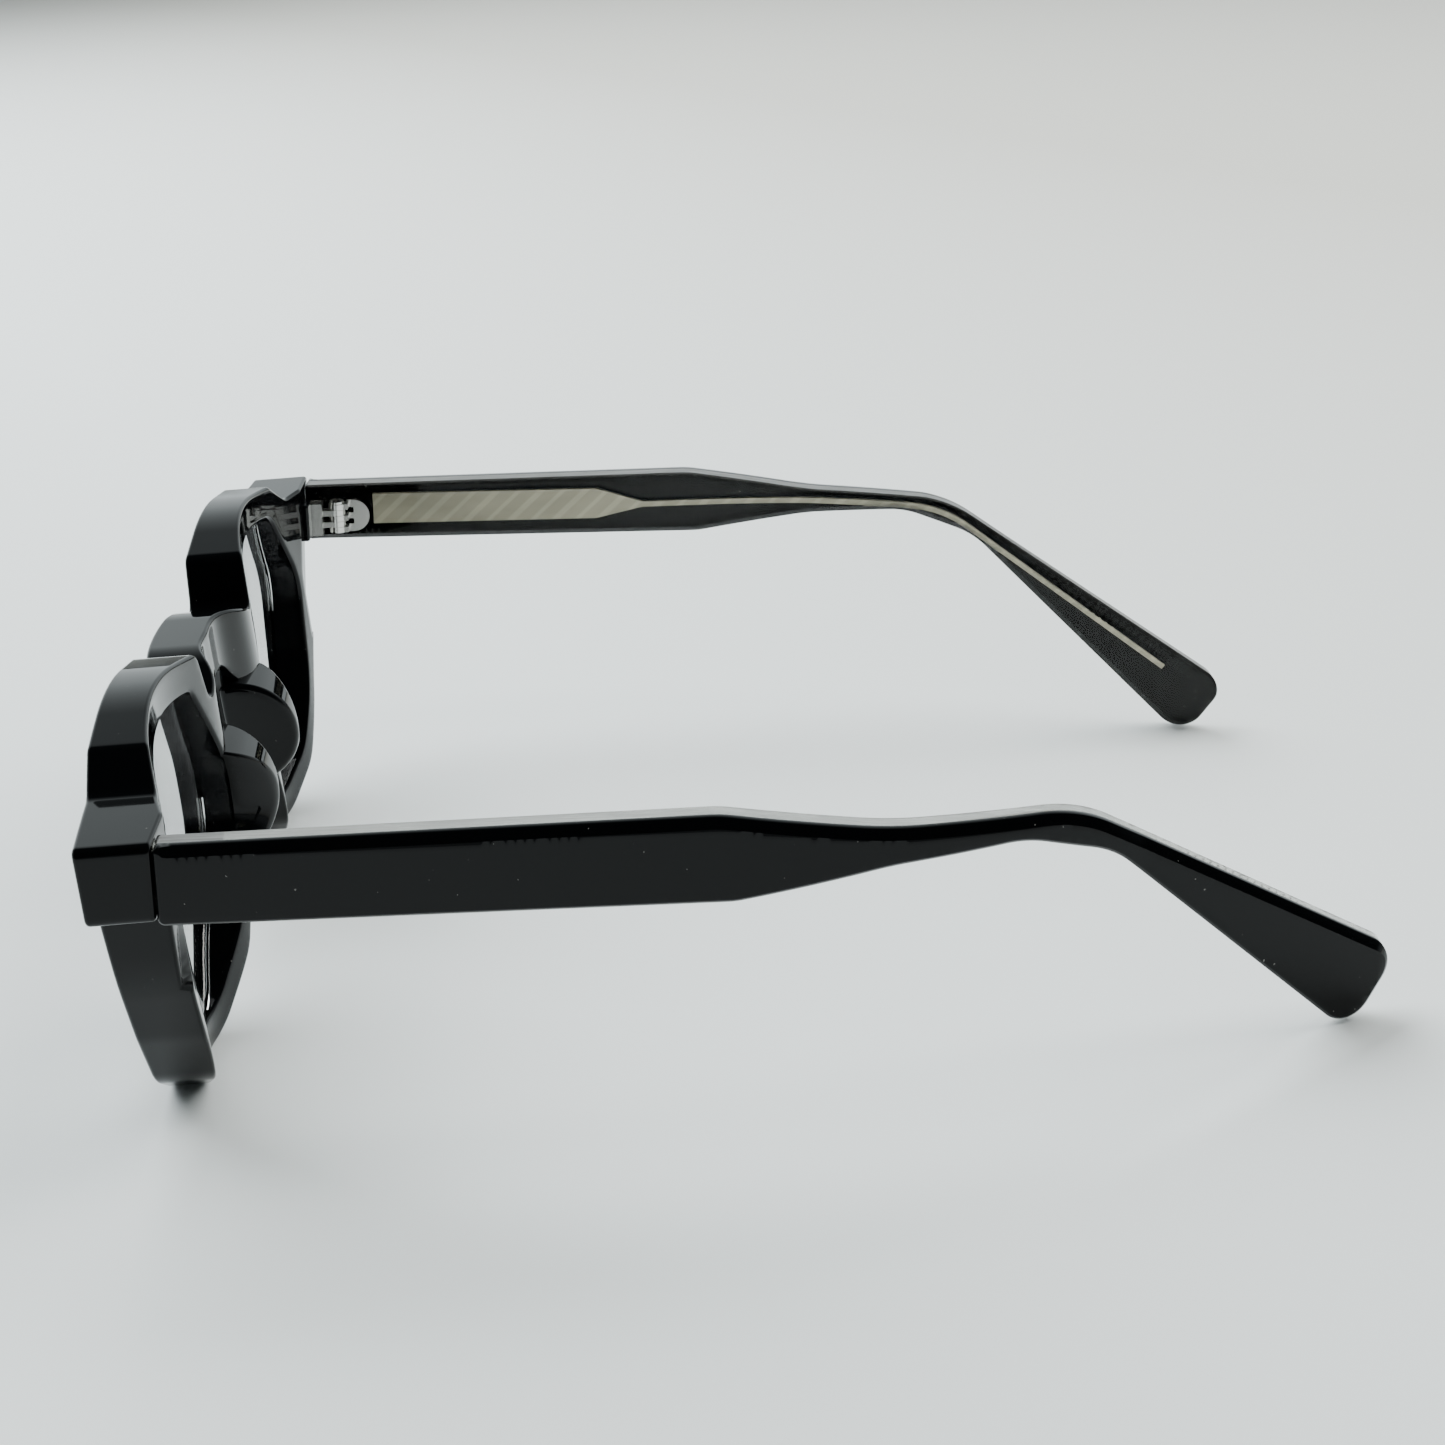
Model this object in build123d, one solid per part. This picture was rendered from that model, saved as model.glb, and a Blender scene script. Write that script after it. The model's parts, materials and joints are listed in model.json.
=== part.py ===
from build123d import *
import os
from math import atan2, cos, degrees, radians, sin, tan

# Eyeglasses with a thick acetate front, laminated temples and five-barrel hinges, in millimetres.
# +X is the wearer's left, +Y runs back towards the ears, +Z is up. Z = 0 is the surface that the
# open glasses stand on: the bottoms of the rims and the lowest points of the temple tips.

# Driving dimensions of the whole frame.
HALF_WIDTH = 72.5        # centre to the flat outer side of an end piece
END_TOP = 42.8           # height of the end pieces' top faces
TEMPLE_SLOPE = 3.65      # degrees that the open temples fall towards the ears
FRONT_LEAN = 1.5         # degrees that the front leans back at its foot
JOINT_Y = 8.0            # the flat joint between end piece and temple, on the temple's own axis
JOINT_GAP = 0.12

# Outline of the front, seen from the front: corners (x, z, radius) from the bridge round to the nose.
FRONT_CORNERS = (
    (8.5, 42.2, 20),       # bridge top
    (18.3, 39.1, 1.2),     # foot of the nasal step
    (20.3, 45.9, 1.5),     # nasal end of the brow
    (36.5, 48.7, 55),
    (52.6, 46.6, 2.0),     # temporal end of the brow
    (58.2, 43.0, 3.5),     # foot of the temporal step
    (HALF_WIDTH, END_TOP, 0.5),
    (HALF_WIDTH, END_TOP - 8.7, 0.9),
    (65.3, END_TOP - 8.9, 0.6),
    (61.7, 22.8, 40),      # temporal side
    (56.3, 13.0, 20),
    (50.6, 4.8, 9),
    (42.6, 0.0, 10),       # flat foot
    (28.8, 0.0, 8),
    (20.3, 7.2, 9),
    (12.9, 19.7, 25),      # nasal side
    (9.8, 30.8, 6),
    (5.6, 35.6, 4.5),      # underside of the bridge
)
OPENING_CORNERS = (
    (24.0, 42.4, 3.0),
    (37.0, 44.5, 70),
    (51.0, 42.5, 4.5),
    (58.5, 31.0, 9),
    (55.2, 16.4, 20),
    (48.4, 7.4, 9),
    (41.2, 3.9, 9),
    (29.6, 4.0, 8),
    (21.2, 11.6, 9),
    (15.6, 23.2, 10),
    (16.4, 30.5, 12),
    (20.9, 37.6, 5),
)

# Plan of the front, from the centre outwards: points (x, y) of its front and rear faces.
FRONT_FACE_PLAN = ((0, -3.7), (7, -3.35), (14, -2.5), (22, -2.2), (47, -1.7), (60, -1.0), (HALF_WIDTH, 0))
BROW_REAR_PLAN = (
    (0, 2.9), (7, 3.2), (12.5, 5.2), (17, 5.6), (23, 4.9), (38.5, 3.7), (52, 4.9), (64, 8.0), (74, 12))
FOOT_REAR_PLAN = (
    (0, 5.0), (7, 5.6), (12.5, 7.4), (17, 7.8), (21, 7.0), (30, 3.6), (42, 4.0), (53, 7.5), (62, 8.5), (74, 11))
BROW_HEIGHT = 50         # heights at which the two rear plans hold
FOOT_HEIGHT = -1

# Lenses: a thin spherical shell with a tongue in the rim's groove.
LENS_RADIUS = 130
LENS_THICKNESS = 2.0
LENS_CENTRE = (37.2, 24.2)
LENS_FRONT_Y = -1.0
TONGUE_THICKNESS = 0.8
TONGUE_DEPTH = 0.7
LENS_CLEARANCE = 0.05

# Nose pads: round acetate wedges standing behind the nasal sides of the rims.
PAD_RADIUS = 7.9
PAD_ROOT_THICKNESS = 7.2     # where they leave the rims, flush with the openings
PAD_REAR_THICKNESS = 2.8
PAD_EDGE_RADIUS = 1.0
PAD_FACE_CENTRE = (8.6, 3.5, 24.4)   # middle of the face that rests on the nose
PAD_FRONTAL_ANGLE = 15       # degrees that the pads open downwards
PAD_SPLAY_ANGLE = 8          # degrees that they open backwards
PAD_FRONT_Y = 2.0

# Temples, in their own level frame: z = 0 is the top of the end piece, y runs along the bar.
TEMPLE_THICKNESS = 4.4
TIP_THICKNESS = 3.4
OUTER_LAYER = 1.9        # black layer; the rest is clear
KNEE = (71.0, 68.0)      # end of the straight bar, on the outer face in plan
BEND_END = (60.5, 112.0)
TEMPLE_END = (46.1, 144.9)
TEMPLE_PROFILE = (       # side view: corners (y, z, radius), along the top and back along the bottom
    (JOINT_Y + JOINT_GAP, 0.0, 0.3),
    (66.0, 1.5, 14),
    (84.0, -1.0, 60),
    (104.5, -1.4, 16),
    (144.9, -26.2, 2.4),
    (139.2, -35.4, 3.0),
    (108.5, -6.6, 11),
    (98.5, -3.6, 12),
    (84.0, -4.8, 40),
    (67.5, -7.8, 5),
    (JOINT_Y + JOINT_GAP, -8.55, 0.5),
)

# Wire core: an arrow-ended plate in the bar, and a thin wire on to the tip.
CORE_THICKNESS = 0.9
CORE_INSET = 2.6         # core's outer face from the temple's outer face
PLATE_START = 18.2
PLATE_TOP = -1.6
PLATE_BOTTOM = -6.2
ARROW_START = 52.0
ARROW_END = 60.6
WIRE_WIDTH = 0.8
WIRE_LINE = (            # wire's centreline in side view: corners (y, z, radius)
    (ARROW_END - 2.0, -3.6, 0),
    (84.0, -2.9, 60),
    (104.0, -2.9, 16),
    (136.0, -24.4, 0),
)

# Five-barrel hinges, in the temple's level frame.
BOSS_CENTRE = (65.6, 7.0, -4.7)      # block on the end piece that carries the front half
BOSS_SIZE = (4.4, 4.0, 5.6)
HINGE_X = 66.9
HINGE_Y = 12.9
BARREL_RADIUS = 1.25
BARREL_TOP = -2.5
KNUCKLE_PITCH = 0.88
KNUCKLE_GAP = 0.04
KNUCKLES = 5
SCREW_RADIUS = 0.65
BORE_CLEARANCE = 0.05
HEAD_RADIUS = 1.1
HEAD_HEIGHT = 0.55
LEAF_HEIGHT = 4.9        # height of both hinge plates
PLATE_DEPTH = 0.55       # temple half's plate, sunk into the temple's inner face
PLATE_STAND = 0.3        # and standing proud of it
PLATE_ROUND_Y = 15.2     # centre of its round end
BARREL_ROOM = 0.35       # clearance round the barrels in the temple


def mirrored(corners):
    """The corners of a half outline, followed by their mirror images in reverse."""
    return list(corners) + [(-x, z, r) for x, z, r in reversed(corners)]


def outline_face(corners, plane):
    """A face on a plane, whose outline has the given corners, each rounded by its own radius."""
    points = [(a, b) for a, b, _ in corners]
    radii = [r for _, _, r in corners]
    return plane * make_face(FilletPolyline(*points, radius=radii, close=True))


def through(face, direction, reach):
    """A face extended both ways along a direction."""
    return extrude(face, reach, dir=Vector(*direction), both=True)


def mirror_x(part):
    """The same piece on the wearer's other side."""
    return mirror(part, Plane.YZ)


def standing(part):
    """A piece from the temple's level frame, set down on its sloping line."""
    return Pos(0, 0, END_TOP) * Rot(-TEMPLE_SLOPE, 0, 0) * part


def plan_curve(half_points):
    """A smooth symmetrical curve in plan through half its points and their mirror images."""
    left = [(-x, y) for x, y in reversed(half_points[1:])]
    return Spline(*left, *half_points)


def plan_face(half_points, far_y, height):
    """The area between a plan curve and a straight line at far_y, at one height."""
    x_end, y_end = half_points[-1]
    sides = Polyline((x_end, y_end), (x_end, far_y), (-x_end, far_y), (-x_end, y_end))
    return Pos(0, 0, height) * make_face(plan_curve(half_points) + sides)


def shell_of_sphere(outer_radius, inner_radius):
    """The spherical shell that a lens is cut from, about the centre of the left lens's curves."""
    x, z = LENS_CENTRE
    place = Pos(x, LENS_FRONT_Y + LENS_RADIUS, z)
    return place * (Sphere(outer_radius) - Sphere(inner_radius))


def lens_tongue(margin):
    """The ridge round a lens's edge, or with a margin the groove for it."""
    middle = LENS_RADIUS - LENS_THICKNESS / 2
    half = TONGUE_THICKNESS / 2 + margin
    opening = outline_face(OPENING_CORNERS, Plane.XZ)
    reach = through(offset(opening, TONGUE_DEPTH + margin), (0, 1, 0), 12)
    return shell_of_sphere(middle + half, middle - half) & reach


def make_lens():
    """A clear lens: its disc fills the opening and its tongue sits in the groove."""
    opening = outline_face(OPENING_CORNERS, Plane.XZ)
    disc = through(offset(opening, -LENS_CLEARANCE), (0, 1, 0), 12)
    body = shell_of_sphere(LENS_RADIUS, LENS_RADIUS - LENS_THICKNESS) & disc
    return body + lens_tongue(0)


def hinge_boss():
    """The block on the inside of an end piece that carries the front half of the hinge."""
    return Pos(*BOSS_CENTRE) * Box(*BOSS_SIZE)


def make_front():
    """The one-piece acetate front with its two openings, lens grooves and hinge seats."""
    slab = through(outline_face(mirrored(FRONT_CORNERS), Plane.XZ), (0, 1, 0), 25)
    front_plan = plan_face(FRONT_FACE_PLAN, 30, END_TOP)
    behind_front = through(front_plan, (0, -tan(radians(FRONT_LEAN)), 1), 60)
    ahead_of_rear = loft([
        plan_face(FOOT_REAR_PLAN, -30, FOOT_HEIGHT), plan_face(BROW_REAR_PLAN, -30, BROW_HEIGHT)])
    front = slab & behind_front & ahead_of_rear
    joint_cut = standing(Pos(HALF_WIDTH, JOINT_Y + 15, -15) * Box(24, 30, 34))
    opening = through(outline_face(OPENING_CORNERS, Plane.XZ), (0, 1, 0), 25)
    boss = standing(hinge_boss())
    seat = standing(front_hinge_plate())
    for side in (lambda part: part, mirror_x):
        front = front - side(joint_cut) - side(opening) - side(lens_tongue(LENS_CLEARANCE))
        front = front + side(boss) - side(opening) - side(seat)
    return front


def make_nose_pad(front):
    """A round wedge of acetate behind the nasal side of the rim, thinning from the rim backwards."""
    disc = Pos(PAD_ROOT_THICKNESS / 2, 0, 0) * Rot(0, 90, 0) * Cylinder(PAD_RADIUS, PAD_ROOT_THICKNESS)
    taper = Polyline(
        (0, -PAD_RADIUS - 1), (PAD_ROOT_THICKNESS, -PAD_RADIUS - 1), (PAD_ROOT_THICKNESS, PAD_RADIUS / 3),
        (PAD_REAR_THICKNESS, PAD_RADIUS), (PAD_REAR_THICKNESS, PAD_RADIUS + 1), (0, PAD_RADIUS + 1), close=True)
    wedge = disc & through(make_face(taper), (0, 0, 1), PAD_RADIUS + 1)
    resting_edge = wedge.edges().filter_by(GeomType.CIRCLE).sort_by(Axis.X)[0]
    wedge = fillet(resting_edge, PAD_EDGE_RADIUS)
    wedge = Pos(*PAD_FACE_CENTRE) * Rot(0, -PAD_FRONTAL_ANGLE, -PAD_SPLAY_ANGLE) * wedge
    keep = Pos(12, PAD_FRONT_Y + 15, 21) * Box(40, 30, 40)
    opening = through(outline_face(OPENING_CORNERS, Plane.XZ), (0, 1, 0), 25)
    pad = (wedge & keep) - front - opening
    return pad.solids().sort_by(SortBy.VOLUME)[-1]


def knuckle(index, radius=BARREL_RADIUS):
    """One barrel of the hinge, counted from the top."""
    height = KNUCKLE_PITCH - KNUCKLE_GAP
    z = BARREL_TOP - (index + 0.5) * KNUCKLE_PITCH
    return Pos(HINGE_X, HINGE_Y, z) * Cylinder(radius, height)


def knuckle_web(index, x_range, y_range):
    """The flat web that joins one barrel to its plate."""
    height = KNUCKLE_PITCH - KNUCKLE_GAP
    z = BARREL_TOP - (index + 0.5) * KNUCKLE_PITCH
    x_low, x_high = x_range
    y_low, y_high = y_range
    middle = ((x_low + x_high) / 2, (y_low + y_high) / 2, z)
    return Pos(*middle) * Box(x_high - x_low, y_high - y_low, height)


def hinge_bore():
    """The screw's running bore through all the barrels."""
    length = KNUCKLES * KNUCKLE_PITCH + 2
    z = BARREL_TOP - KNUCKLES * KNUCKLE_PITCH / 2
    return Pos(HINGE_X, HINGE_Y, z) * Cylinder(SCREW_RADIUS + BORE_CLEARANCE, length)


def front_hinge_plate():
    """The plate of the front half, sunk in the rear of the end piece, with its barbed stud."""
    z = BARREL_TOP - KNUCKLES * KNUCKLE_PITCH / 2
    plate = Pos(66.5, 9.6, z) * Box(2.4, 2.4, LEAF_HEIGHT)
    stud = Pos(66.5, 7.0, z) * Rot(90, 0, 0) * Cylinder(0.9, 4.4)
    return plate + stud


def make_front_hinge():
    """The front half of the hinge: a plate with two barrels."""
    part = front_hinge_plate()
    for index in (1, 3):
        part = part + knuckle_web(index, (65.7, 67.5), (9.5, HINGE_Y)) + knuckle(index)
    return part - hinge_bore()


def temple_hinge_plate():
    """The D-shaped plate of the temple half."""
    z = BARREL_TOP - KNUCKLES * KNUCKLE_PITCH / 2
    plate_start = HINGE_Y + BARREL_RADIUS + 0.15
    straight = Pos((plate_start + PLATE_ROUND_Y) / 2, z) * Rectangle(PLATE_ROUND_Y - plate_start, LEAF_HEIGHT)
    round_end = Pos(PLATE_ROUND_Y, z) * Circle(LEAF_HEIGHT / 2)
    face = Plane.YZ * (straight + round_end)
    inner_x = HALF_WIDTH - TEMPLE_THICKNESS
    plate = Pos(inner_x - PLATE_STAND, 0, 0) * extrude(face, PLATE_STAND + PLATE_DEPTH)
    return plate & (Pos(inner_x, plate_start + 10, z) * Box(4, 20, 12))


def make_temple_hinge():
    """The temple half of the hinge: a D-shaped plate with three barrels and two slots."""
    part = temple_hinge_plate()
    for index in (1, 3):
        part = part - knuckle_web(index, (60, 70), (12, 15.3))
    for index in (0, 2, 4):
        part = part + knuckle_web(index, (66.2, 68.0), (HINGE_Y, 14.6)) + knuckle(index)
    return part - hinge_bore()


def make_hinge_screw():
    """The hinge screw: a plain shank with a slotted round head on top."""
    length = KNUCKLES * KNUCKLE_PITCH
    shank = Pos(HINGE_X, HINGE_Y, BARREL_TOP - length / 2) * Cylinder(SCREW_RADIUS, length)
    head = Pos(HINGE_X, HINGE_Y, BARREL_TOP + HEAD_HEIGHT / 2) * Cylinder(HEAD_RADIUS, HEAD_HEIGHT)
    head = fillet(head.edges().group_by(Axis.Z)[-1], 0.25)
    slot = Pos(HINGE_X, HINGE_Y, BARREL_TOP + HEAD_HEIGHT) * Box(3, 0.3, 0.5)
    return shank + (head - slot)


def temple_line(inset_front, inset_tip):
    """The plan line of the temple, inset from its outer face: bar, bend and tip."""
    bar_angle = atan2(HALF_WIDTH - KNEE[0], KNEE[1] - JOINT_Y)
    tip_angle = atan2(BEND_END[0] - TEMPLE_END[0], TEMPLE_END[1] - BEND_END[1])
    start = (HALF_WIDTH - inset_front, JOINT_Y - 2)
    knee = (KNEE[0] - inset_front * cos(bar_angle), KNEE[1] - inset_front * sin(bar_angle))
    bend = (BEND_END[0] - inset_tip * cos(tip_angle), BEND_END[1] - inset_tip * sin(tip_angle))
    end = (TEMPLE_END[0] - inset_tip, TEMPLE_END[1] + 4)
    bar = Line(start, knee)
    curve = TangentArc(knee, bend, tangent=bar % 1)
    tip = Line(bend, end)
    return bar + curve + tip


def temple_band(outer, inner):
    """The space between two plan lines of the temple; each is (inset at the bar, inset at the tip)."""
    first = temple_line(*outer)
    second = temple_line(*inner)
    ends = Line(first @ 0, second @ 0) + Line(first @ 1, second @ 1)
    return through(make_face(first + second + ends), (0, 0, 1), 60)


def temple_side():
    """The side view of the whole temple, as a block across it."""
    return through(outline_face(TEMPLE_PROFILE, Plane.YZ), (1, 0, 0), 100)


def make_core():
    """The metal core: the wide plate with its arrow end, and the wire on to the tip."""
    middle = (PLATE_TOP + PLATE_BOTTOM) / 2 + 0.3
    plate = Polyline(
        (PLATE_START, PLATE_TOP), (ARROW_START, PLATE_TOP + 0.5), (ARROW_END, middle),
        (ARROW_START, PLATE_BOTTOM + 0.5), (PLATE_START, PLATE_BOTTOM), close=True)
    points = [(y, z) for y, z, _ in WIRE_LINE]
    radii = [r for _, _, r in WIRE_LINE[1:-1]]
    line = FilletPolyline(*points, radius=radii)
    wire = trace(line, WIRE_WIDTH)
    side = Plane.YZ * (make_face(plate) + wire)
    band = temple_band((CORE_INSET, CORE_INSET - 0.4), (CORE_INSET + CORE_THICKNESS, CORE_INSET + 0.5))
    return through(side, (1, 0, 0), 100) & band


def make_outer_layer():
    """The black outer layer of a temple."""
    return temple_side() & temple_band((0, 0), (OUTER_LAYER, OUTER_LAYER - 0.3))


def make_inner_layer(core):
    """The clear inner layer, with the core's channel and the pockets for the hinge."""
    layer = temple_side() & temple_band((OUTER_LAYER, OUTER_LAYER - 0.3), (TEMPLE_THICKNESS, TIP_THICKNESS))
    barrel_z = BARREL_TOP - KNUCKLES * KNUCKLE_PITCH / 2
    barrel_room = Pos(HINGE_X, HINGE_Y, barrel_z + 0.2) * Cylinder(BARREL_RADIUS + BARREL_ROOM, 5.6)
    web_room = Pos(HINGE_X + 0.6, HINGE_Y + 0.9, barrel_z) * Box(1.2, 1.8, LEAF_HEIGHT)
    return layer - temple_hinge_plate() - barrel_room - web_room - core


def make_parts():
    """Every piece, by node name, where it stands on the open glasses."""
    front = make_front()
    core = make_core()
    left = {
        "lens": make_lens(),
        "nose_pad": make_nose_pad(front),
        "front_hinge": standing(make_front_hinge()),
        "temple_outer": standing(make_outer_layer()),
        "temple_inner": standing(make_inner_layer(core)),
        "temple_core": standing(core),
        "temple_hinge": standing(make_temple_hinge()),
        "hinge_screw": standing(make_hinge_screw()),
    }
    parts = {"front_frame": front}
    for name, part in left.items():
        parts["left_" + name] = part
        parts["right_" + name] = mirror_x(part)
    return parts


parts = make_parts()
boxes = [part.bounding_box() for part in parts.values()]
front_y = min(box.min.Y for box in boxes)
back_y = max(box.max.Y for box in boxes)
to_centre = Pos(0, -(front_y + back_y) / 2, 0)     # the origin is below the middle

os.makedirs("parts", exist_ok=True)
for node, part in parts.items():
    export_step(to_centre * part, f"parts/{node}.step")
    print(node, round(part.volume, 1), "mm3")
print("moved along Y by", round(to_centre.position.Y, 4))
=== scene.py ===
import bmesh
import bpy
import json
import numpy as np
from math import atan2, cos, pi, radians, sin, tan
from mathutils import Matrix, Vector
from mathutils.geometry import delaunay_2d_cdt
from mathutils.kdtree import KDTree


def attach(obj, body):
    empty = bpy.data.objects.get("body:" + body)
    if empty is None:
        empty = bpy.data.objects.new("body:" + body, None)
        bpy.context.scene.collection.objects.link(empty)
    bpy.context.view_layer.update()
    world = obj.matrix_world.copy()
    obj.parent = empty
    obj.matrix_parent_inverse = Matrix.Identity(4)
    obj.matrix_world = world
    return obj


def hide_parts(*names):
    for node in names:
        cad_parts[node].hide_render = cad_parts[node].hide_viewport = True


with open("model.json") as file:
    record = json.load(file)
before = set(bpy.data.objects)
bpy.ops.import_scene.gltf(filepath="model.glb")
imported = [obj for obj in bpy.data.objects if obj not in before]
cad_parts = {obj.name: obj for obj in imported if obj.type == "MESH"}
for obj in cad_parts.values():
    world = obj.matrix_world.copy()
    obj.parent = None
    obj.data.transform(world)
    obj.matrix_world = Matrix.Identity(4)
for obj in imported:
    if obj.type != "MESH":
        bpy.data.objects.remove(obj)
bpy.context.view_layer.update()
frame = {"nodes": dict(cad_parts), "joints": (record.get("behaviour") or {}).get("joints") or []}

# --- Front frame -----------------------------------------------------------------------------
# One piece of thick black acetate: two rims, the bridge and both end pieces, milled from sheet
# to a stepped brow line, hollowed behind each rim, and tumbled to a deep gloss with soft edges.
# The open temples slope a little, and each meets its end piece on a flat joint.

fold = next(j for j in frame["joints"] if j["name"] == "left_temple_fold")
slope = atan2(fold["axis"][1], fold["axis"][2])
hinge_at = Vector(fold["pos_m"]) * 1000
HINGE_IN_TEMPLE = Vector((66.9, 12.9, -4.7))     # the same pin in the temple's own level frame
END_TOP = hinge_at.z - HINGE_IN_TEMPLE.z * cos(slope) + HINGE_IN_TEMPLE.y * sin(slope)
FORWARD = hinge_at.y - HINGE_IN_TEMPLE.y * cos(slope) - HINGE_IN_TEMPLE.z * sin(slope)


def in_front(x, z, y):
    """From the front's own frame to the glasses, in millimetres."""
    return x, y + FORWARD, z


def in_temple(y, z, x):
    """From the temple's level frame to the glasses, in millimetres."""
    return x, y * cos(slope) + z * sin(slope) + FORWARD, z * cos(slope) - y * sin(slope) + END_TOP


def loop(corners, step=0.4):
    """A closed line through rounded corners (u, v, radius), with a point every step."""
    points = []
    count = len(corners)
    for i, (u, v, radius) in enumerate(corners):
        here = np.array((u, v), float)
        before = np.array(corners[i - 1][:2], float) - here
        after = np.array(corners[(i + 1) % count][:2], float) - here
        before /= np.linalg.norm(before)
        after /= np.linalg.norm(after)
        half = np.arccos(np.clip(before @ after, -1, 1)) / 2
        middle = here + (before + after) / np.linalg.norm(before + after) * radius / sin(half)
        reach = radius / np.tan(half)
        start, end = here + before * reach - middle, here + after * reach - middle
        first = atan2(start[1], start[0])
        turn = (atan2(end[1], end[0]) - first + pi) % (2 * pi) - pi
        pieces = max(5, int(abs(turn) * radius / step))
        for k in range(pieces + 1):
            angle = first + turn * k / pieces
            points.append(middle + radius * np.array((cos(angle), sin(angle))))
    filled = []
    for i, point in enumerate(points):
        gap = points[(i + 1) % len(points)] - point
        parts = max(1, int(np.linalg.norm(gap) / step + 0.5))
        filled += [point + gap * k / parts for k in range(parts)]
    return np.array(filled)


def inward(line):
    """The unit normals on the left of a closed line."""
    ahead = np.roll(line, -1, 0) - line
    ahead /= np.linalg.norm(ahead, axis=1)[:, None]
    along = ahead + np.roll(ahead, 1, 0)
    along /= np.linalg.norm(along, axis=1)[:, None]
    return np.stack((-along[:, 1], along[:, 0]), 1)


def holds(line, points):
    """Which points lie inside a closed line."""
    inside = np.zeros(len(points), bool)
    ends = np.roll(line, -1, 0)
    for (u0, v0), (u1, v1) in zip(line, ends):
        if v0 == v1:
            continue
        crosses = (v0 > points[:, 1]) != (v1 > points[:, 1])
        inside ^= crosses & (points[:, 0] < u0 + (points[:, 1] - v0) * (u1 - u0) / (v1 - v0))
    return inside


def turned(line, left):
    """A closed line run so that it turns left, or right."""
    area = np.sum(line[:, 0] * np.roll(line[:, 1], -1) - np.roll(line[:, 0], -1) * line[:, 1])
    return line if (area > 0) == left else line[::-1]


# Profiles of an eased edge: points (across, down) from the side wall in to the surface.
ROUND = [(1 - cos(k * pi / 10), 1 - sin(k * pi / 10)) for k in range(5)] + [(1, 0)]
BEVEL = [(0, 1), (0.04, 0.93), (0.93, 0.04), (1, 0)]


def even(size):
    """The same edge size all the way round."""
    return lambda line, normals: np.full(len(line), size)


def edge_rings(line, near, far, near_edge, far_edge):
    """Rings of points round a closed line: out over the near edge, down the wall, in over the far one."""
    normals = inward(line)
    (near_profile, near_size), (far_profile, far_size) = near_edge, far_edge
    rings = []
    for surface, profile, size, way in (
            (near, near_profile[::-1], near_size, 1), (far, far_profile, far_size, -1)):
        amount = size(line, normals)
        for across, down in profile:
            flat = line + normals * amount[:, None] * across
            to_far = np.sign(far(*flat.T) - near(*flat.T))
            rings.append(np.column_stack((flat, surface(*flat.T) + way * to_far * amount * down)))
    return rings


def within(borders, points):
    """Which points lie inside the first border and outside all the others."""
    inside = holds(borders[0], points)
    for hole in borders[1:]:
        inside &= ~holds(hole, points)
    return inside


def fill(points, faces, borders, surface, grid, spacing):
    """Triangles over a surface between borders, each given as (line, number of its first point)."""
    lines = [line for line, _ in borders]
    inside = grid[within(lines, grid)]
    every = np.concatenate(lines)
    tree = KDTree(len(every))
    for i, (u, v) in enumerate(every):
        tree.insert((u, v, 0), i)
    tree.balance()
    inside = inside[[tree.find((u, v, 0))[2] > spacing * 0.45 for u, v in inside]]
    flat, numbers, edges = [], [], []
    for line, first in borders:
        start = len(flat)
        flat += list(line)
        numbers += range(first, first + len(line))
        edges += [(start + i, start + (i + 1) % len(line)) for i in range(len(line))]
    numbers += range(len(points), len(points) + len(inside))
    points += list(zip(inside[:, 0], inside[:, 1], surface(*inside.T)))
    flat += list(inside)
    places, _, triangles, origins = delaunay_2d_cdt([Vector(p) for p in flat], edges, [], 0, 1e-7)[:4]
    middles = np.array([np.mean([places[i] for i in triangle], axis=0) for triangle in triangles])
    for triangle, wanted in zip(triangles, within(lines, middles)):
        if wanted:
            faces.append(tuple(numbers[origins[i][0]] for i in triangle))


def plate(name, outline, holes, near, far, near_edge, far_edge, place, spacing=0.9, mirror=False):
    """A solid between two surfaces, cut to an outline with holes, with its edges eased.
    near and far give the depth at (u, v). Each edge is (profile, size), and the size is worked out
    from the line and its inward normals."""
    lines = [turned(outline, True)] + [turned(hole, False) for hole in holes]
    low, high = lines[0].min(0), lines[0].max(0)
    grid = np.stack(np.meshgrid(np.arange(low[0], high[0], spacing),
                                np.arange(low[1], high[1], spacing)), -1).reshape(-1, 2)
    points, faces, near_borders, far_borders = [], [], [], []
    for line in lines:
        rings = edge_rings(line, near, far, near_edge, far_edge)
        first, count = len(points), len(line)
        last = first + (len(rings) - 1) * count
        for ring in rings:
            points += [tuple(point) for point in ring]
        for start in range(first, last, count):
            for i in range(count):
                a, b = start + i, start + (i + 1) % count
                faces.append((a, b, b + count, a + count))
        near_borders.append((rings[0][:, :2], first))
        far_borders.append((rings[-1][:, :2], last))
    fill(points, faces, near_borders, near, grid, spacing)
    fill(points, faces, far_borders, far, grid, spacing)
    x, y, z = place(*np.array(points).T)
    if mirror:
        x = -x
    mesh = bpy.data.meshes.new(name)
    mesh.from_pydata(np.stack((x, y, z), 1) / 1000, [], faces)
    return finished(name, mesh)


def finished(name, mesh):
    """A mesh made into a shown piece: faces turned outwards and shaded smooth."""
    work = bmesh.new()
    work.from_mesh(mesh)
    bmesh.ops.remove_doubles(work, verts=work.verts, dist=1e-7)
    bmesh.ops.recalc_face_normals(work, faces=work.faces)
    work.to_mesh(mesh)
    work.free()
    mesh.polygons.foreach_set("use_smooth", [True] * len(mesh.polygons))
    piece = bpy.data.objects.new(name, mesh)
    bpy.context.scene.collection.objects.link(piece)
    weighted = piece.modifiers.new("weighted normals", "WEIGHTED_NORMAL")
    weighted.weight = 60
    return piece


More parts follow.
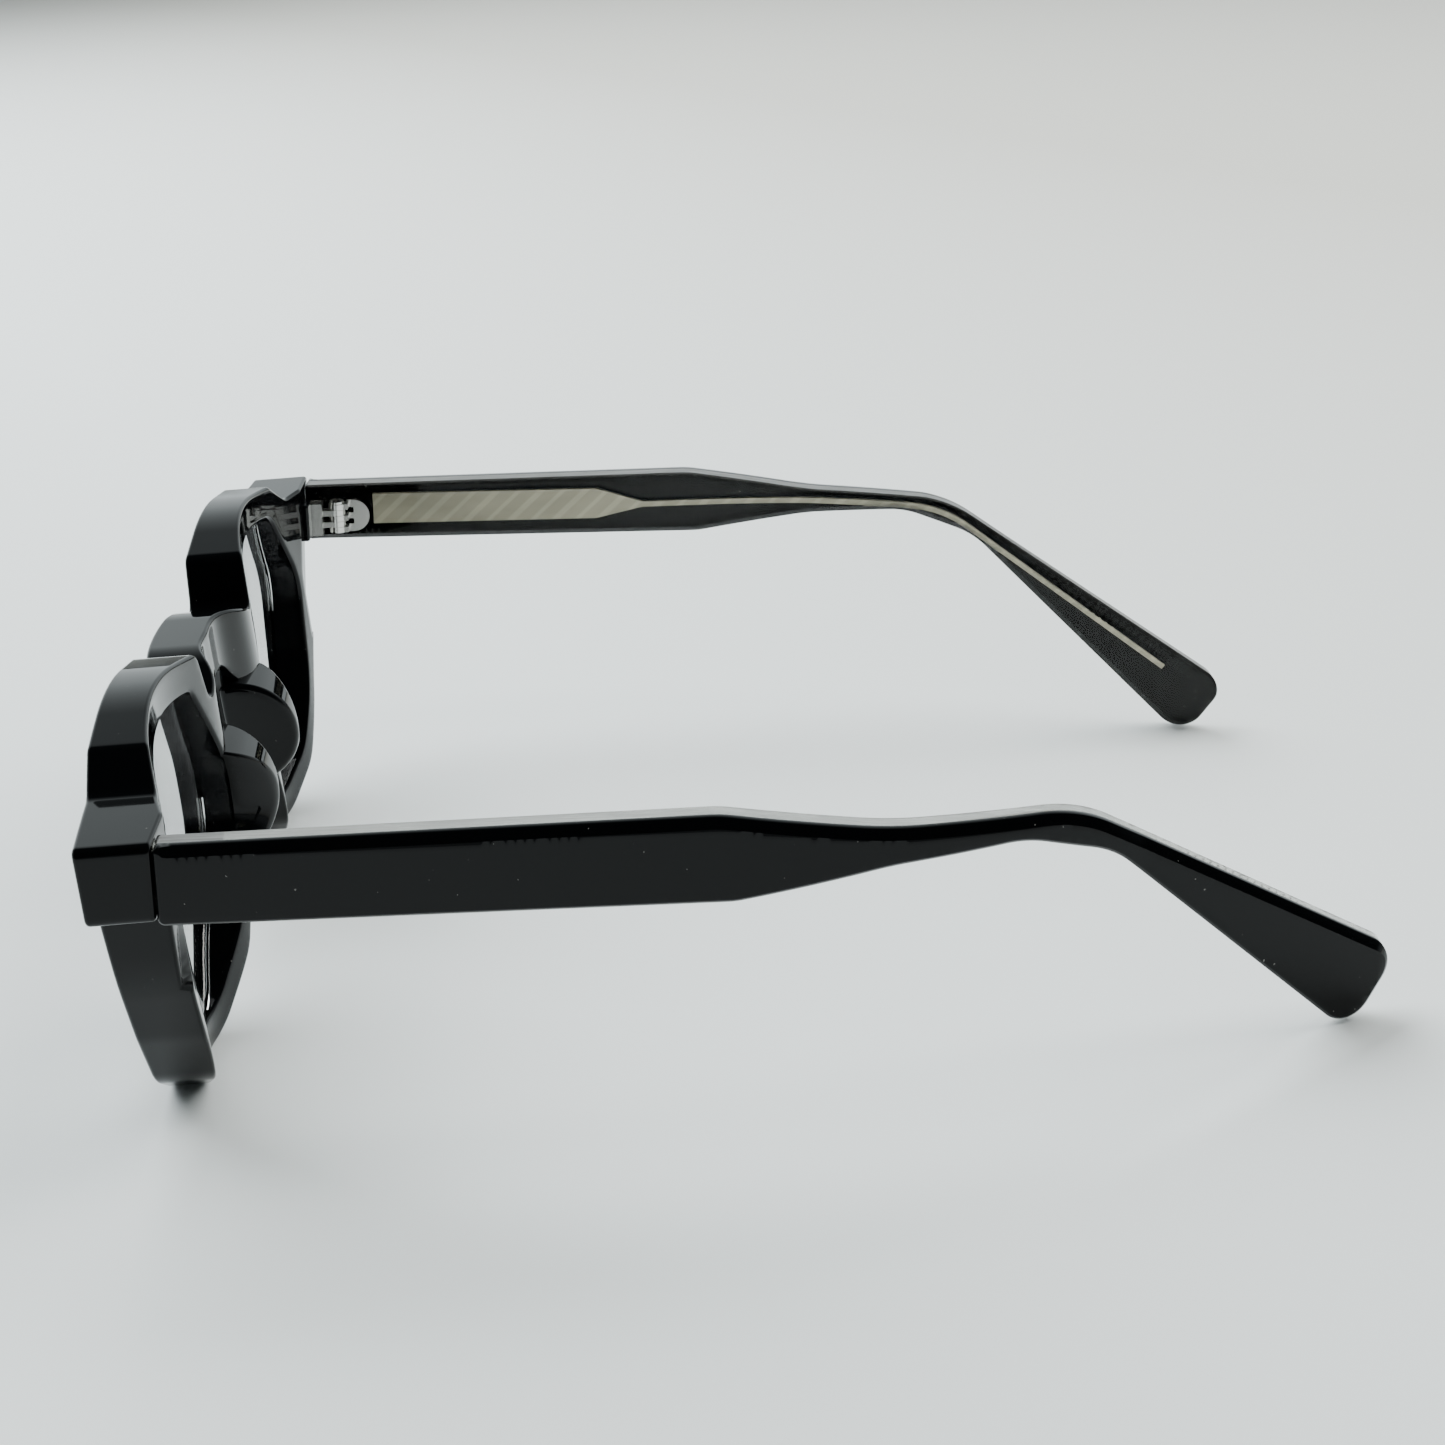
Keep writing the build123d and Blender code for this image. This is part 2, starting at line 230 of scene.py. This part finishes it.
def smooth_through(points):
    """A natural cubic curve through (a, b) points, as a function of a."""
    a, b = np.array(points, float).T
    gap = np.diff(a)
    rows = np.eye(len(a))
    right = np.zeros(len(a))
    for i in range(1, len(a) - 1):
        rows[i, i - 1:i + 2] = gap[i - 1], 2 * (gap[i - 1] + gap[i]), gap[i]
        right[i] = 6 * ((b[i + 1] - b[i]) / gap[i] - (b[i] - b[i - 1]) / gap[i - 1])
    bend = np.linalg.solve(rows, right)

    def curve(at):
        i = np.clip(np.searchsorted(a, at) - 1, 0, len(gap) - 1)
        left, here = a[i + 1] - at, at - a[i]
        return ((bend[i] * left ** 3 + bend[i + 1] * here ** 3) / (6 * gap[i])
                + (b[i] / gap[i] - bend[i] * gap[i] / 6) * left
                + (b[i + 1] / gap[i] - bend[i + 1] * gap[i] / 6) * here)
    return curve


def both_sides(points):
    """Half a plan curve with its mirror image."""
    return [(-a, b) for a, b in points[:0:-1]] + list(points)


HALF_WIDTH = 72.5
half_outline = [
    (8.5, 42.2, 20), (18.3, 39.1, 1.6), (20.3, 45.9, 1.9),                    # bridge and nasal step
    (36.5, 48.7, 55), (52.6, 46.6, 2.4), (58.2, 43.0, 3.5),                   # brow
    (HALF_WIDTH, END_TOP, 1.0), (HALF_WIDTH, END_TOP - 8.7, 1.0),             # end piece
    (65.3, END_TOP - 8.9, 0.7),
    (61.7, 22.8, 40), (56.3, 13.0, 20), (50.6, 4.8, 9), (42.6, 0.0, 10),      # temporal side, foot
    (28.8, 0.0, 8), (20.3, 7.2, 9), (12.9, 19.7, 25), (9.8, 30.8, 6), (5.6, 35.6, 4.5)]   # nasal side
front_outline = loop(half_outline + [(-x, z, r) for x, z, r in half_outline[::-1]])
left_opening = loop([
    (24.0, 42.4, 3.0), (37.0, 44.5, 70), (51.0, 42.5, 4.5), (58.5, 31.0, 9), (55.2, 16.4, 20),
    (48.4, 7.4, 9), (41.2, 3.9, 9), (29.6, 4.0, 8), (21.2, 11.6, 9), (15.6, 23.2, 10),
    (16.4, 30.5, 12), (20.9, 37.6, 5)])
right_opening = left_opening * (-1, 1)

# Plans of the front, from the centre outwards: its face, and its rear at the brow and at the foot.
face_plan = smooth_through(both_sides(
    [(0, -3.7), (7, -3.35), (14, -2.5), (22, -2.2), (47, -1.7), (60, -1.0), (HALF_WIDTH + 1, 0.05)]))
brow_plan = smooth_through(both_sides(
    [(0, 2.9), (7, 3.2), (12.5, 5.2), (17, 5.6), (23, 4.9), (38.5, 3.7), (52, 4.9), (64, 8.0), (74, 12)]))
foot_plan = smooth_through(both_sides([
    (0, 5.0), (7, 5.6), (12.5, 7.4), (17, 7.8), (21, 7.0),
    (30, 3.6), (42, 4.0), (53, 7.5), (62, 8.5), (74, 11)]))
FOOT_HEIGHT, BROW_HEIGHT = -1, 50                # heights at which the two rear plans hold
FACE_LEAN = radians(1.5)
JOINT = 8.0                                      # the flat joint with the temple, along its bar
END_PIECE_START = 60.5                           # the joint's plane cuts the front beyond this


def front_face(x, z):
    """Depth of the front's face, which leans back a little at its foot."""
    return face_plan(x) + tan(FACE_LEAN) * (END_TOP - z)


def rear_face(x, z):
    """Depth of the front's hollowed rear, cut flat at the joints with the temples."""
    height = (z - FOOT_HEIGHT) / (BROW_HEIGHT - FOOT_HEIGHT)
    hollow = brow_plan(x) * height + foot_plan(x) * (1 - height)
    joint = JOINT * cos(slope) + tan(slope) * (z - END_TOP + JOINT * sin(slope))
    return np.where(np.abs(x) > END_PIECE_START, np.minimum(hollow, joint), hollow)


OPENING_EASE, FRONT_EASE, REAR_EASE, JOINT_EASE = 0.5, 0.9, 0.85, 0.15
opening_side = front_outline + inward(front_outline) * 1.5       # runs inside the outer edge


def front_edge(line, normals):
    """Well rounded edges, tighter round the openings."""
    return np.where(holds(opening_side, line), OPENING_EASE, FRONT_EASE)


def rear_edge(line, normals):
    """Rounded edges, crisp at the joint with the temples."""
    near_joint = np.clip((np.abs(line[:, 0]) - END_PIECE_START - 1) / 2.5, 0, 1) * (line[:, 1] > 33)
    outer = REAR_EASE - (REAR_EASE - JOINT_EASE) * near_joint
    return np.where(holds(opening_side, line), OPENING_EASE, outer)


front = plate("black_front", front_outline, [left_opening, right_opening], front_face, rear_face,
              (ROUND, front_edge), (ROUND, rear_edge), in_front, spacing=0.7)
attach(front, "front")
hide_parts("front_frame")


class Reading:
    """A number that changes over a surface; arithmetic on it adds Math nodes."""

    def __init__(self, finish, socket):
        self.finish, self.socket = finish, socket

    def math(self, operation, first, second):
        nodes = self.finish.add("ShaderNodeMath", {"operation": operation}, {0: first, 1: second})
        return nodes["Value"]

    def __add__(self, other):
        return self.math("ADD", self, other)

    def __sub__(self, other):
        return self.math("SUBTRACT", self, other)

    def __rsub__(self, other):
        return self.math("SUBTRACT", other, self)

    def __mul__(self, other):
        return self.math("MULTIPLY", self, other)

    __radd__ = __add__
    __rmul__ = __mul__


class Finish:
    """A material, or the room's backdrop, put together node by node."""

    def __init__(self, owner):
        owner.use_nodes = True
        self.owner, self.tree = owner, owner.node_tree
        self.tree.nodes.clear()

    def add(self, kind, settings, sockets):
        """One node: its settings first, then values or links for its sockets; gives its outputs."""
        node = self.tree.nodes.new(kind)
        for key, value in settings.items():
            setattr(node, key, value)
        for key, value in sockets.items():
            if isinstance(value, Reading):
                self.tree.links.new(value.socket, node.inputs[key])
            else:
                node.inputs[key].default_value = value
        return {output.name: Reading(self, output) for output in node.outputs if output.enabled}

    def place(self):
        """Where each point is on the piece, as X, Y and Z in metres."""
        where = self.add("ShaderNodeTexCoord", {}, {})["Object"]
        return self.add("ShaderNodeSeparateXYZ", {}, {0: where})

    def noise(self, scale, detail=3.0, stretch=(1, 1, 1)):
        """Soft noise at a number of patches per metre, stretched along the axes."""
        where = self.add("ShaderNodeTexCoord", {}, {})["Object"]
        where = self.add("ShaderNodeMapping", {}, {"Vector": where, "Scale": stretch})["Vector"]
        sockets = {"Vector": where, "Scale": scale, "Detail": detail}
        return self.add("ShaderNodeTexNoise", {}, sockets)["Fac"]

    def between(self, value, low, high):
        """0 below low, 1 above high, straight in between."""
        sockets = {"Value": value, "From Min": low, "From Max": high}
        return self.add("ShaderNodeMapRange", {}, sockets)["Result"]

    def saw(self, value, width):
        """Up and down again, in straight lines, over twice a width."""
        return self.add("ShaderNodeMath", {"operation": "PINGPONG"}, {0: value, 1: width})["Value"]

    def blend(self, amount, first, second):
        """A colour between two colours."""
        return self.add("ShaderNodeMix", {"data_type": "RGBA"}, {0: amount, 6: first, 7: second})["Result"]

    def bump(self, height, strength, distance):
        """The surface's direction, tipped by a relief of a height in metres."""
        sockets = {"Height": height, "Strength": strength, "Distance": distance}
        return self.add("ShaderNodeBump", {}, sockets)["Normal"]

    def mixed(self, amount, first, second):
        """A shader between two shaders."""
        return self.add("ShaderNodeMixShader", {}, {0: amount, 1: first, 2: second})["Shader"]

    def surface(self, **sockets):
        """A principled shader; each name is a socket's, with _ for its spaces."""
        named = {key.replace("_", " "): value for key, value in sockets.items()}
        return self.add("ShaderNodeBsdfPrincipled", {}, named)["BSDF"]

    def end(self, shader, output="ShaderNodeOutputMaterial"):
        """Joins the shader to the output, and gives the material."""
        self.add(output, {}, {"Surface": shader})
        return self.owner


JET = (0.0014, 0.0017, 0.002, 1)
DUST = (0.16, 0.16, 0.15, 1)


def polished_acetate(name, dust):
    """Glossy black acetate with faint handling marks and a little dust."""
    finish = Finish(bpy.data.materials.new(name))
    smudge = finish.between(finish.noise(160, 4), 0.45, 0.75)
    specks = finish.between(finish.noise(1900, 0), 0.86, 0.89) * dust
    return finish.end(finish.surface(
        Base_Color=finish.blend(specks, JET, DUST),
        Roughness=0.04 + smudge * 0.04 + specks * 0.4,
        IOR=1.49, Specular_IOR_Level=0.17))


black_acetate = polished_acetate("polished black acetate", 0.35)
front.data.materials.append(black_acetate)


def block(name, centre, size, ease, place):
    """A box with eased edges, set out in the front's or the temple's own frame."""
    mesh = bpy.data.meshes.new(name)
    work = bmesh.new()
    bmesh.ops.create_cube(work, size=1)
    bmesh.ops.scale(work, vec=size, verts=work.verts)
    bmesh.ops.bevel(work, geom=work.edges[:], offset=ease, segments=4, profile=0.5, affect="EDGES")
    for vertex in work.verts:
        x, y, z = vertex.co + Vector(centre)
        vertex.co = Vector(place(y, z, x)) / 1000
    work.to_mesh(mesh)
    work.free()
    return finished(name, mesh)


BOSS_MIDDLE = (65.6, 7.0, -4.7)                  # block on the end piece that carries the hinge
BOSS_SIZE = (4.4, 4.0, 5.6)
BOSS_EASE = 0.4

for side, name in ((1, "left"), (-1, "right")):
    middle = (BOSS_MIDDLE[0] * side, *BOSS_MIDDLE[1:])
    boss = block(name + "_hinge_boss", middle, BOSS_SIZE, BOSS_EASE, in_temple)
    boss.data.materials.append(black_acetate)
    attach(boss, "front")

# --- Lenses ----------------------------------------------------------------------------------
# Clear plastic, 2 mm thick and curved like a piece of a large ball. The edge runs into a groove
# in the rim, so only the two polished faces and a dark ring of groove are seen.

LENS_RADIUS = 130
LENS_MIDDLE = (37.2, 24.2)
LENS_FRONT = -1.0
LENS_THICKNESS = 2.0
LENS_IN_GROOVE = 0.25
LENS_EASE = 0.12


def lens_face(radius):
    """Depth of a lens's face, on a ball of a radius about the same centre."""
    def face(x, z):
        across = (np.abs(x) - LENS_MIDDLE[0]) ** 2 + (z - LENS_MIDDLE[1]) ** 2
        return LENS_FRONT + LENS_RADIUS - np.sqrt(radius ** 2 - across)
    return face


def ball_normals(mesh, centre, middle_radius):
    """A lens's own normals, but true to the ball wherever a point lies on a polished face."""
    normals = []
    for vertex in mesh.vertices:
        spoke = vertex.co - centre
        outward = spoke.normalized() * (1 if spoke.length > middle_radius else -1)
        on_face = vertex.normal.dot(outward) > 0.97
        normals.append(outward if on_face else vertex.normal.copy())
    return normals


lens_finish = Finish(bpy.data.materials.new("clear lens"))
lens_material = lens_finish.end(lens_finish.surface(
    Base_Color=(0.985, 0.99, 0.985, 1), Roughness=0.0, IOR=1.5, Transmission_Weight=1.0))

for side, name in ((1, "left"), (-1, "right")):
    edge = left_opening - inward(turned(left_opening, True)) * LENS_IN_GROOVE
    lens = plate(name + "_clear_lens", edge, [],
                 lens_face(LENS_RADIUS), lens_face(LENS_RADIUS - LENS_THICKNESS),
                 (BEVEL, even(LENS_EASE)), (BEVEL, even(LENS_EASE)), in_front,
                 spacing=1.2, mirror=side < 0)
    centre = Vector(in_front(LENS_MIDDLE[0] * side, LENS_MIDDLE[1], LENS_FRONT + LENS_RADIUS)) / 1000
    normals = ball_normals(lens.data, centre, (LENS_RADIUS - LENS_THICKNESS / 2) / 1000)
    lens.modifiers.clear()
    lens.data.normals_split_custom_set_from_vertices(normals)
    lens.data.materials.append(lens_material)
    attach(lens, "front")
    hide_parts(name + "_lens")

# --- Nose pads -------------------------------------------------------------------------------
# Round wedges of the same black acetate, cemented behind the nasal sides of the rims and polished
# with them. Each runs on from the wall of the opening and thins backwards, and both open downwards
# and backwards to lie along the nose.

PAD_RADIUS = 7.9
PAD_MIDDLE = (8.6, 3.5, 24.4)                    # on the face that rests on the nose
PAD_FRONTAL, PAD_SPLAY = radians(15), radians(8)
PAD_FRONT = 2.2
PAD_TAPER_START, PAD_TAPER_LENGTH, PAD_TAPER = 6.3, 5.1, 4.2
PAD_PROUD = 0.03                                 # over the wall of the opening, to cover its edge
PAD_RESTING_EASE, PAD_LATERAL_EASE = 1.0, 0.7
nasal_wall = smooth_through([                    # heights up the opening, and how far out its wall is
    (12, 20.8), (16.5, 18.9), (20, 17.15), (23.2, 16.0), (27, 16.0), (31, 16.9), (34, 18.8)])
pad_rear = PAD_MIDDLE[1] + PAD_RADIUS
pad_foot, pad_top = PAD_MIDDLE[2] - PAD_RADIUS, PAD_MIDDLE[2] + PAD_RADIUS
pad_outline = loop([
    (PAD_FRONT, pad_foot, 1.2), (pad_rear, pad_foot, 7.7),
    (pad_rear, pad_top, 7.7), (PAD_FRONT, pad_top, 1.2)])


def resting_face(y, z):
    """How far out the pad's face towards the nose is."""
    return PAD_MIDDLE[0] + tan(PAD_FRONTAL) * (PAD_MIDDLE[2] - z) + tan(PAD_SPLAY) * (y - PAD_MIDDLE[1])


def lateral_face(y, z):
    """How far out its other face is: on the opening's wall, then curving in behind the rim."""
    behind_rim = np.clip((y - PAD_TAPER_START) / PAD_TAPER_LENGTH, 0, None)
    return nasal_wall(z) + PAD_PROUD - PAD_TAPER * behind_rim ** 1.7


def in_front_sideways(y, z, x):
    """From (back, up, out) in the front's own frame to the glasses, in millimetres."""
    return in_front(x, z, y)


for side, name in ((1, "left"), (-1, "right")):
    pad = plate(name + "_black_pad", pad_outline, [], lateral_face, resting_face,
                (ROUND, even(PAD_LATERAL_EASE)), (ROUND, even(PAD_RESTING_EASE)), in_front_sideways,
                spacing=0.5, mirror=side < 0)
    pad.data.materials.append(black_acetate)
    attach(pad, "front")
    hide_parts(name + "_nose_pad")

# --- Temples ---------------------------------------------------------------------------------
# Each temple is laminated from a black outer layer and a clear inner one. The bar is straight,
# narrows to a neck, and bends down and inwards to a broad tip. The top outer edge is bevelled.

BAR_STOCK = 4.4
TIP_STOCK = 3.4
BLACK_LAYER, BLACK_LAYER_AT_TIP = 1.9, 1.6
LAP = 0.04                                       # the layers run into each other by this much
KNEE = (71.0, 68.0)                              # end of the straight bar, in plan
BEND = (60.5, 112.0)                             # start of the straight tip
TIP_END = (46.1, 144.9)
TEMPLE_START = JOINT + 0.12
BEND_TOP, TIP_TOP = (104.5, -1.4), (144.9, -26.2)
temple_outline = loop([
    (TEMPLE_START, 0.0, 0.5), (66.0, 1.5, 14), (84.0, -1.0, 60),               # top of the bar and neck
    (*BEND_TOP, 16), (*TIP_TOP, 3.4), (139.2, -35.4, 3.4),                     # bend and tip
    (108.5, -6.6, 11), (98.5, -3.6, 12), (84.0, -4.8, 40), (67.5, -7.8, 10),   # back along the bottom
    (TEMPLE_START, -8.55, 0.9)], step=0.5)


def temple_surface(inset_bar, inset_tip):
    """How far out the temple reaches at each point along it, inset from its outer face."""
    bar = atan2(HALF_WIDTH - KNEE[0], KNEE[1] - JOINT)
    tip = atan2(BEND[0] - TIP_END[0], TIP_END[1] - BEND[1])
    knee = np.array((KNEE[0] - inset_bar * cos(bar), KNEE[1] - inset_bar * sin(bar)))
    bend = np.array((BEND[0] - inset_tip * cos(tip), BEND[1] - inset_tip * sin(tip)))
    end = np.array((TIP_END[0] - inset_tip, TIP_END[1] + 4))
    start = np.array((HALF_WIDTH - inset_bar, JOINT - 2))
    along = (knee - start) / np.linalg.norm(knee - start)
    inside = np.array((-along[1], along[0]))
    chord = bend - knee
    radius = chord @ chord / (2 * chord @ inside)
    middle = knee + inside * radius

    def reach(y, z):
        bar_x = start[0] + (y - start[1]) * (knee[0] - start[0]) / (knee[1] - start[1])
        tip_x = bend[0] + (y - bend[1]) * (end[0] - bend[0]) / (end[1] - bend[1])
        arc_x = middle[0] + np.sqrt(np.maximum(radius ** 2 - (y - middle[1]) ** 2, 0))
        return np.where(y < knee[1], bar_x, np.where(y > bend[1], tip_x, arc_x))
    return reach


NARROW_BEVEL, EXTRA_BEVEL = 0.4, 0.55
NARROW_FOOT_BEVEL = 0.35
CRISP_BEVEL = 0.3                                # at the joint
LAMINATED_EASE = 0.03                            # where one layer meets the other


def at_joint(line):
    """1 at the flat joint with the end piece, falling to 0 behind it."""
    return np.clip((JOINT + 1.2 - line[:, 0]) / 0.6, 0, 1)


def top_bevel(line, normals):
    """A wide bevel along the top edge, a narrow one elsewhere, and a crisp edge at the joint."""
    wide = NARROW_BEVEL + EXTRA_BEVEL * np.clip(-normals[:, 1] * 1.6 - 0.3, 0, 1)
    return wide + (np.minimum(wide, CRISP_BEVEL) - wide) * at_joint(line)


def foot_bevel(line, normals):
    """A wide bevel along the bottom edge, and a narrow one elsewhere."""
    downward = np.clip(normals[:, 1] * 1.6 - 0.3, 0, 1)
    return NARROW_FOOT_BEVEL + EXTRA_BEVEL * downward * (1 - at_joint(line))


black_layer = polished_acetate("polished black acetate of the temples", 1.0)

# The clear layer: a comb of short ridges is engraved along the top of each tip's inner face, and
# its upper edge is dulled by dust and fine scratches.
COMB_PITCH = 1.1
COMB_FOOT, COMB_TOP = -2.2, -0.8                 # from the tip's top edge
COMB_START, COMB_END = 15.5, 42.5                # along the tip, from the bend
COMB_DEPTH = 0.0004
CLEAR = (0.80, 0.80, 0.76, 1)
DUSTY = (0.20, 0.205, 0.20, 1)

clear_finish = Finish(bpy.data.materials.new("polished clear acetate"))
edge_start, edge_end = Vector(in_temple(*BEND_TOP, 0)), Vector(in_temple(*TIP_TOP, 0))
run = (edge_end - edge_start).normalized()
spot = clear_finish.place()
along = spot["Y"] * (1000 * run.y) + spot["Z"] * (1000 * run.z) - edge_start.dot(run)
above = (spot["Z"] * (1000 * run.y) - spot["Y"] * (1000 * run.z)
         - (edge_start.z * run.y - edge_start.y * run.z))
ridge = clear_finish.between(clear_finish.saw(along, COMB_PITCH / 2), 0.15, 0.40)
across_comb = (clear_finish.between(above, COMB_FOOT - 0.1, COMB_FOOT + 0.1)
               * clear_finish.between(above, COMB_TOP + 0.1, COMB_TOP - 0.1))
along_comb = (clear_finish.between(along, COMB_START - 0.5, COMB_START + 0.5)
              * clear_finish.between(along, COMB_END + 0.5, COMB_END - 0.5))
ridged = clear_finish.bump(ridge * across_comb * along_comb, 1.0, COMB_DEPTH)
glassy = clear_finish.surface(
    Base_Color=CLEAR, Roughness=0.02, IOR=1.22, Transmission_Weight=1.0, Normal=ridged)
dulled = clear_finish.surface(Base_Color=DUSTY, Roughness=0.35, IOR=1.49)
normal = clear_finish.add("ShaderNodeNewGeometry", {}, {})["Normal"]
upward = clear_finish.add("ShaderNodeSeparateXYZ", {}, {0: normal})["Z"]
streaks = clear_finish.noise(500, 4, (4, 0.35, 4))
dust = clear_finish.between(upward, 0.55, 0.9) * (0.25 + streaks * 0.9)
clear_acetate = clear_finish.end(clear_finish.mixed(dust, glassy, dulled))

for side, name in ((1, "left"), (-1, "right")):
    outer = plate(name + "_black_layer", temple_outline, [],
                  temple_surface(0, 0), temple_surface(BLACK_LAYER, BLACK_LAYER_AT_TIP),
                  (BEVEL, top_bevel), (ROUND, even(LAMINATED_EASE)), in_temple, mirror=side < 0)
    outer.data.materials.append(black_layer)
    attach(outer, name + "_temple")
    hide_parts(name + "_temple_outer")
    inner = plate(name + "_clear_layer", temple_outline, [],
                  temple_surface(BLACK_LAYER - LAP, BLACK_LAYER_AT_TIP - LAP),
                  temple_surface(BAR_STOCK, TIP_STOCK),
                  (ROUND, even(LAMINATED_EASE)), (BEVEL, foot_bevel), in_temple, mirror=side < 0)
    inner.data.materials.append(clear_acetate)
    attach(inner, name + "_temple")
    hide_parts(name + "_temple_inner")

# --- Temple cores ----------------------------------------------------------------------------
# A nickel silver plate with an arrow end, shot into the warm acetate, with slanting bars engraved
# on it. A thin wire carries on to the tip.

BAR_PITCH = 7.2                                  # of the slanting bars, along the plate
BAR_SLANT = 1.2
WARM_METAL = (0.50, 0.46, 0.36, 1)
DARK_METAL = (0.26, 0.25, 0.20, 1)

core_finish = Finish(bpy.data.materials.new("engraved nickel silver"))
spot = core_finish.place()
slanting = core_finish.saw(spot["Y"] * 1000 - spot["Z"] * (1000 * BAR_SLANT), BAR_PITCH / 2)
engraved = core_finish.between(slanting, 0.5, 0.8) * core_finish.between(slanting, 3.3, 3.0)
tarnish = core_finish.between(core_finish.noise(300, 3, (1, 0.3, 1)), 0.35, 0.7)
core_metal = core_finish.end(core_finish.surface(
    Base_Color=core_finish.blend(engraved * 0.35 + tarnish * 0.4, WARM_METAL, DARK_METAL),
    Metallic=1.0, Roughness=0.34))
for name in ("left", "right"):
    core = frame["nodes"][name + "_temple_core"]
    core.data.materials.clear()
    core.data.materials.append(core_metal)

# --- Hinges ----------------------------------------------------------------------------------
# Five-barrel nickel silver hinges: two barrels on a plate sunk in the end piece, three on a
# D-shaped plate sunk in the temple, and a slotted steel screw down through all five.

hinge_finish = Finish(bpy.data.materials.new("satin nickel silver"))
hinge_metal = hinge_finish.end(hinge_finish.surface(
    Base_Color=(0.62, 0.61, 0.58, 1), Metallic=1.0, Roughness=0.25))
for name in ("left", "right"):
    for part in ("front_hinge", "temple_hinge", "hinge_screw"):
        node = frame["nodes"][name + "_" + part]
        node.data.materials.clear()
        node.data.materials.append(hinge_metal)

# --- Studio ----------------------------------------------------------------------------------
# A pale sheet of paper, painted darker and warmer towards its far back as painted shade, in a dim room
# that is pale and bright low down behind the glasses, two large soft lights that glossy surfaces don't
# mirror, and a long-lens camera on the wearer's left.

COOL_PAPER = (0.87, 0.92, 0.925, 1)
# The second paper colour is painted shade: darker and a little warmer, where less light reaches the sheet.
PAINTED_SHADE_WARM_PAPER = (0.62, 0.625, 0.585, 1)
PAPER_REACH = 6

paper = Finish(bpy.data.materials.new("pale paper"))
spot = paper.place()
# Painted shade: the paper turns darker and warmer towards the back of the glasses and away from the
# camera.
painted_shade_and_warmth = paper.between(spot["Y"] - 0.5 * spot["X"], 0.02, 0.45)
paper_material = paper.end(paper.surface(
    Base_Color=paper.blend(painted_shade_and_warmth, COOL_PAPER, PAINTED_SHADE_WARM_PAPER), Roughness=0.9))
mesh = bpy.data.meshes.new("floor")
corners = [(PAPER_REACH * x, PAPER_REACH * y, 0) for x, y in ((-1, -1), (1, -1), (1, 1), (-1, 1))]
mesh.from_pydata(corners, [], [(0, 1, 2, 3)])
floor = bpy.data.objects.new("floor", mesh)
bpy.context.scene.collection.objects.link(floor)
floor.data.materials.append(paper_material)

DIM_ROOM = (0.012, 0.013, 0.014, 1)
BACKDROP = (1.25, 1.38, 1.40, 1)
room = Finish(bpy.data.worlds.new("studio"))
facing = room.add("ShaderNodeSeparateXYZ", {}, {0: room.add("ShaderNodeTexCoord", {}, {})["Generated"]})
beyond = room.between(facing["X"] + 0.25 * facing["Y"], 0.15, -0.55)
low_down = room.between(facing["Z"], 0.75, 0.25)
horizon = room.between(facing["Z"], 0.17, 0.05)
glow = room.blend(beyond * low_down + 0.35 * horizon, DIM_ROOM, BACKDROP)
bpy.context.scene.world = room.end(
    room.add("ShaderNodeBackground", {}, {0: glow, 1: 1.0})["Background"], "ShaderNodeOutputWorld")


def soft_light(name, place, width, depth, watts, colour):
    """A large flat lamp turned towards the glasses, which lights them without being mirrored."""
    lamp = bpy.data.lights.new(name, "AREA")
    lamp.shape, lamp.size, lamp.size_y = "RECTANGLE", width, depth
    lamp.energy, lamp.color = watts, colour
    holder = bpy.data.objects.new(name, lamp)
    holder.location = place
    holder.rotation_euler = (-Vector(place)).to_track_quat("-Z", "Y").to_euler()
    holder.visible_glossy = False
    bpy.context.scene.collection.objects.link(holder)


soft_light("window", (-0.75, -0.55, 0.95), 1.3, 1.1, 36, (0.95, 0.99, 1.0))
soft_light("fill", (-0.2, 0.8, 1.0), 1.2, 1.2, 18, (1.0, 1.0, 0.965))

AIM = Vector((0, -0.0015, 0.0243))
AZIMUTH, ELEVATION, TILT = radians(89.38), radians(20.43), radians(-4.26)
DISTANCE = 0.3434
back = Vector((sin(AZIMUTH) * cos(ELEVATION), -cos(AZIMUTH) * cos(ELEVATION), sin(ELEVATION)))
camera = bpy.data.cameras.new("camera")
camera.lens, camera.sensor_width = 66.02, 36
camera.clip_start, camera.clip_end = 0.01, 20
viewer = bpy.data.objects.new("camera", camera)
viewer.location = AIM + back * DISTANCE
level = (-back).to_track_quat("-Z", "Y").to_matrix().to_4x4()
viewer.rotation_euler = (level @ Matrix.Rotation(TILT, 4, "Z")).to_euler()
bpy.context.scene.collection.objects.link(viewer)
bpy.context.scene.camera = viewer
